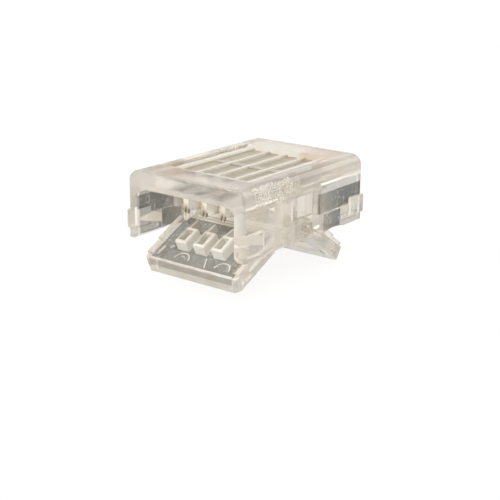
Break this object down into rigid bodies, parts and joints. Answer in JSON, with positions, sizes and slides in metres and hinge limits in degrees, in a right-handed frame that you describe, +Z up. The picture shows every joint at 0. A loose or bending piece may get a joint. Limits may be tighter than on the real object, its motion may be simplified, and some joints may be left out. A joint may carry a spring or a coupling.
{
  "type": "led strip connector",
  "caption": "Clear clip-on connector: a hollow ribbed body with brass piercing contacts and a hinged flap at each end that presses a light strip onto them.",
  "frame": {"origin": "Middle of the part in plan, at the height of its lowest point, the lip of the far flap.", "axes": "+X along the strips from the near end to the far end, +Y across them, +Z up through the roof."},
  "size_m": [0.0204, 0.0156, 0.0117],
  "materials": {
    "clear_housing": "clear polycarbonate with a faint warm tint, polished",
    "clear_flap": "clear polycarbonate with a faint warm tint, polished",
    "contact_brass": "bright pressed strip"
  },
  "bodies": {
    "body": {"housing": "clear_housing", "contact_1": "contact_brass", "contact_2": "contact_brass", "contact_3": "contact_brass"},
    "near_flap": {"near_flap": "clear_flap"},
    "far_flap": {"far_flap": "clear_flap"}
  },
  "joints": [
    {"name": "near_flap_hinge", "type": "hinge", "parent": "body", "child": "near_flap", "pos_m": [-0.0015, 0, 0.00527], "axis": [0, 1, 0], "range_deg": [-10.2, 25.8]},
    {"name": "far_flap_hinge", "type": "hinge", "parent": "body", "child": "far_flap", "pos_m": [0.0015, 0, 0.00527], "axis": [0, -1, 0], "range_deg": [-1, 35]}
  ]
}
